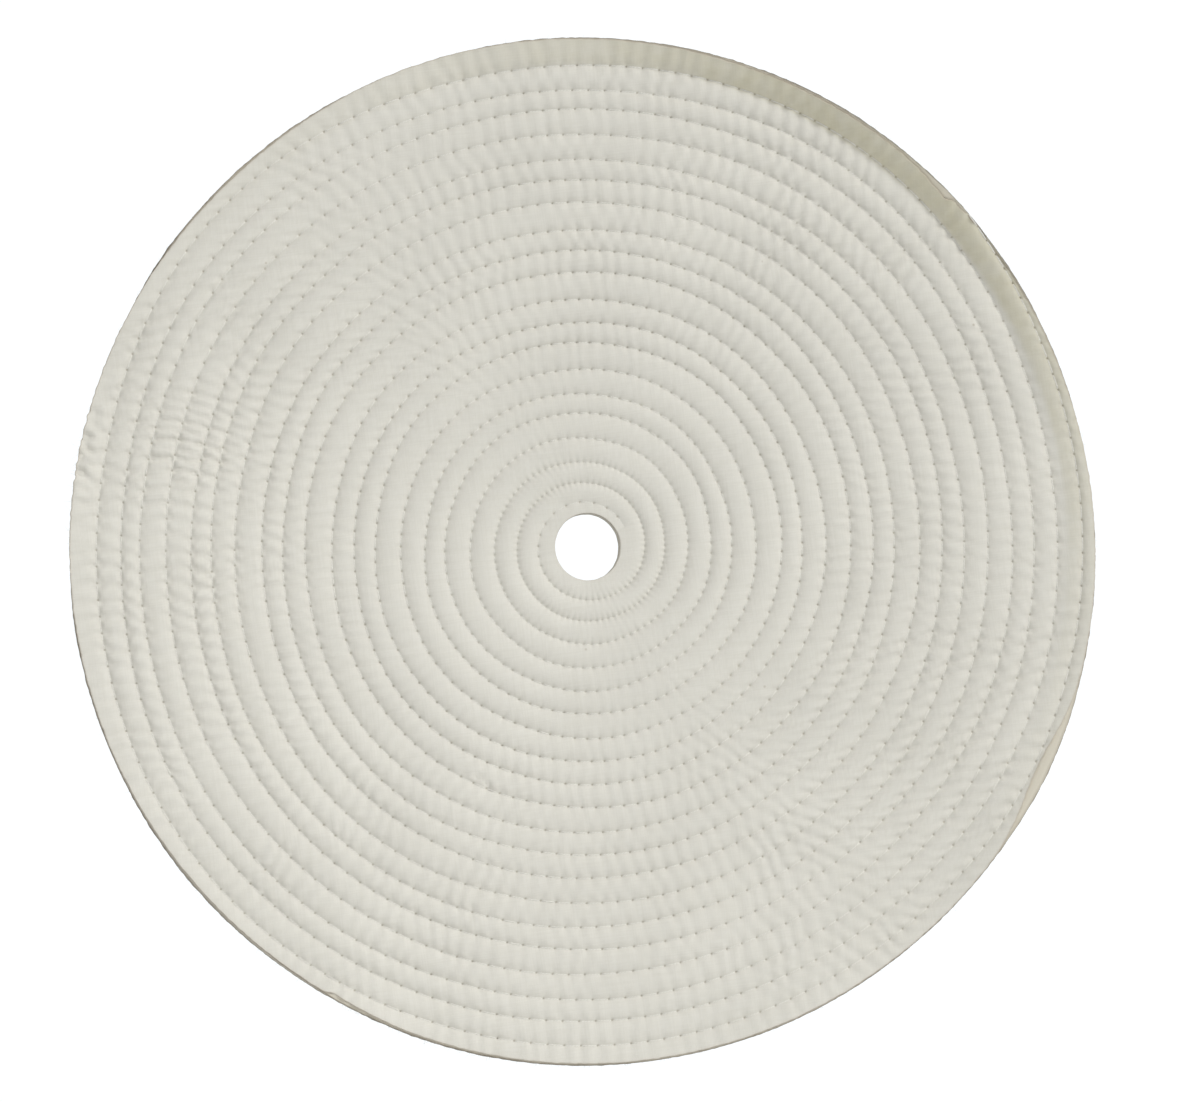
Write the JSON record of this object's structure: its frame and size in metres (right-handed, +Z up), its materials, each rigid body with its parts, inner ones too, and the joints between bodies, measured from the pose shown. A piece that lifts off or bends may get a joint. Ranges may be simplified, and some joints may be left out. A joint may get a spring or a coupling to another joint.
{
  "type": "sewn cotton polishing wheel",
  "caption": "Flat round polishing wheel of stacked cotton cloth discs, held together by a lockstitch seam that spirals from a plain arbor hole out to the raw-cut rim.",
  "frame": {"origin": "centre of the wheel: on the arbor hole's axis, halfway through the stack of discs", "axes": "+Y is the spin axis and points out of the back face; the front face looks towards -Y; +Z is up and +X is to the right as the front face is seen"},
  "size_m": [0.3048, 0.008, 0.3048],
  "materials": {
    "cotton_cloth": "off-white bleached cotton sheeting, plain weave, matt, with raw cut edges",
    "cotton_thread": "off-white twisted cotton sewing thread, matt"
  },
  "bodies": {
    "root": {"front_cotton_disc": "cotton_cloth", "cotton_disc_02": "cotton_cloth", "cotton_disc_03": "cotton_cloth", "cotton_disc_04": "cotton_cloth", "cotton_disc_05": "cotton_cloth", "cotton_disc_06": "cotton_cloth", "cotton_disc_07": "cotton_cloth", "cotton_disc_08": "cotton_cloth", "cotton_disc_09": "cotton_cloth", "cotton_disc_10": "cotton_cloth", "cotton_disc_11": "cotton_cloth", "cotton_disc_12": "cotton_cloth", "cotton_disc_13": "cotton_cloth", "cotton_disc_14": "cotton_cloth", "cotton_disc_15": "cotton_cloth", "cotton_disc_16": "cotton_cloth", "cotton_disc_17": "cotton_cloth", "cotton_disc_18": "cotton_cloth", "cotton_disc_19": "cotton_cloth", "back_cotton_disc": "cotton_cloth", "needle_thread": "cotton_thread", "bobbin_thread": "cotton_thread"}
  },
  "joints": []
}
